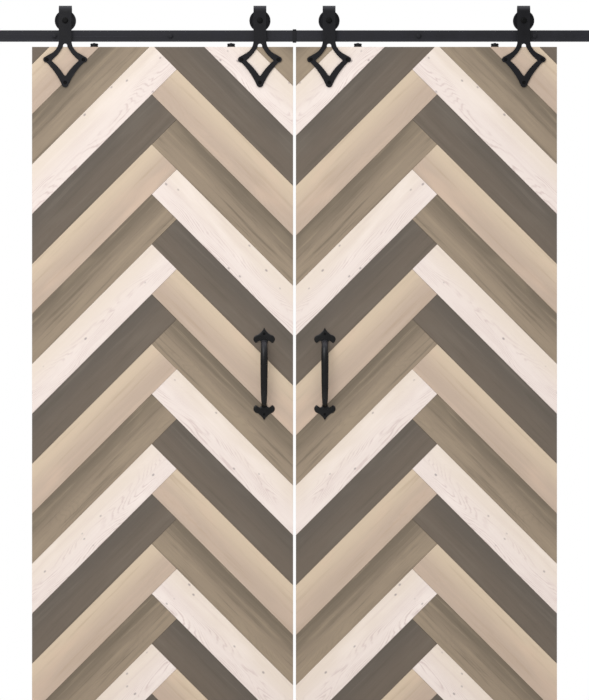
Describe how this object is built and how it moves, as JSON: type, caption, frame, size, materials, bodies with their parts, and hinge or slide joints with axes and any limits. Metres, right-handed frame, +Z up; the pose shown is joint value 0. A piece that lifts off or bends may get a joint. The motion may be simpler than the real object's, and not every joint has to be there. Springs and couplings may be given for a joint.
{
  "type": "double sliding barn doors",
  "caption": "Pair of herringbone plank barn doors hung by rollers from a flat black rail, with diamond-ended hangers, pull handles, end stops and floor guides.",
  "frame": {"origin": "middle of the row of wall bolts, on the wall's face, at the height of the rail's centre line", "axes": "+X along the rail, +Y into the wall, +Z up; the doors' planked fronts face -Y"},
  "size_m": [3.6576, 0.172, 2.6207],
  "materials": {
    "rail_paint": "flat black powder coat",
    "hardware_paint": "black powder coat, slightly textured",
    "pull_paint": "satin black powder coat on cast iron",
    "wheel_paint": "black coated steel",
    "bolt_black": "black oxide",
    "sleeve_steel": "turned, zinc plated",
    "bearing_steel": "ground and polished",
    "bumper_rubber": "moulded black rubber",
    "core_wood": "plain sanded timber panel",
    "plank_tan": "sand coloured wash with fine grain",
    "plank_brown": "mid grey-brown stain, darker along its grain",
    "plank_white": "cream limewash with faint grain and knots",
    "plank_dark": "dark grey-brown stain"
  },
  "bodies": {
    "track": {"rail_left": "rail_paint", "rail_right": "rail_paint", "rail_collar": "hardware_paint", "splice_plate": "rail_paint", "splice_screws": "bolt_black", "wall_spacers": "rail_paint", "wall_bolts": "bolt_black", "wall_bolt_washers": "bolt_black", "end_stops": "hardware_paint", "stop_bumpers": "bumper_rubber", "stop_screws": "bolt_black", "floor_guides": "hardware_paint", "guide_screws": "bolt_black"},
    "left_door": {"left_core": "core_wood", "left_planks_tan": "plank_tan", "left_planks_brown": "plank_brown", "left_planks_white": "plank_white", "left_planks_dark": "plank_dark", "left_strap_outer": "hardware_paint", "left_strap_inner": "hardware_paint", "left_axle_bolts": "bolt_black", "left_axle_nuts": "bolt_black", "left_axle_washers": "bolt_black", "left_axle_sleeves": "sleeve_steel", "left_bearing_inner_rings": "bearing_steel", "left_strap_screws": "bolt_black", "left_jump_discs": "hardware_paint", "left_disc_screws": "bolt_black", "left_pull_handle": "pull_paint", "left_pull_screws": "bolt_black"},
    "right_door": {"right_core": "core_wood", "right_planks_tan": "plank_tan", "right_planks_brown": "plank_brown", "right_planks_white": "plank_white", "right_planks_dark": "plank_dark", "right_strap_outer": "hardware_paint", "right_strap_inner": "hardware_paint", "right_axle_bolts": "bolt_black", "right_axle_nuts": "bolt_black", "right_axle_washers": "bolt_black", "right_axle_sleeves": "sleeve_steel", "right_bearing_inner_rings": "bearing_steel", "right_strap_screws": "bolt_black", "right_jump_discs": "hardware_paint", "right_disc_screws": "bolt_black", "right_pull_handle": "pull_paint", "right_pull_screws": "bolt_black"},
    "roller_1": {"wheel_1": "wheel_paint", "bearing_outer_1": "bearing_steel", "bearing_balls_1": "bearing_steel"},
    "roller_2": {"wheel_2": "wheel_paint", "bearing_outer_2": "bearing_steel", "bearing_balls_2": "bearing_steel"},
    "roller_3": {"wheel_3": "wheel_paint", "bearing_outer_3": "bearing_steel", "bearing_balls_3": "bearing_steel"},
    "roller_4": {"wheel_4": "wheel_paint", "bearing_outer_4": "bearing_steel", "bearing_balls_4": "bearing_steel"}
  },
  "joints": [
    {"name": "left_door_slide", "type": "slide", "parent": "track", "child": "left_door", "axis": [-1, 0, 0], "range_m": [0, 0.86]},
    {"name": "right_door_slide", "type": "slide", "parent": "track", "child": "right_door", "axis": [1, 0, 0], "range_m": [0, 0.86]},
    {"name": "roller_1_turn", "type": "hinge", "parent": "left_door", "child": "roller_1", "pos_m": [-0.8032, -0.041, 0.0533], "axis": [0, 1, 0], "continuous": true},
    {"name": "roller_2_turn", "type": "hinge", "parent": "left_door", "child": "roller_2", "pos_m": [-0.1212, -0.041, 0.0533], "axis": [0, 1, 0], "continuous": true},
    {"name": "roller_3_turn", "type": "hinge", "parent": "right_door", "child": "roller_3", "pos_m": [0.1212, -0.041, 0.0533], "axis": [0, 1, 0], "continuous": true},
    {"name": "roller_4_turn", "type": "hinge", "parent": "right_door", "child": "roller_4", "pos_m": [0.8032, -0.041, 0.0533], "axis": [0, 1, 0], "continuous": true}
  ],
  "couplings": [
    {"joint": "roller_1_turn", "follows": "left_door_slide", "rad_per_m": -30.303},
    {"joint": "roller_2_turn", "follows": "left_door_slide", "rad_per_m": -30.303},
    {"joint": "roller_3_turn", "follows": "right_door_slide", "rad_per_m": 30.303},
    {"joint": "roller_4_turn", "follows": "right_door_slide", "rad_per_m": 30.303}
  ]
}
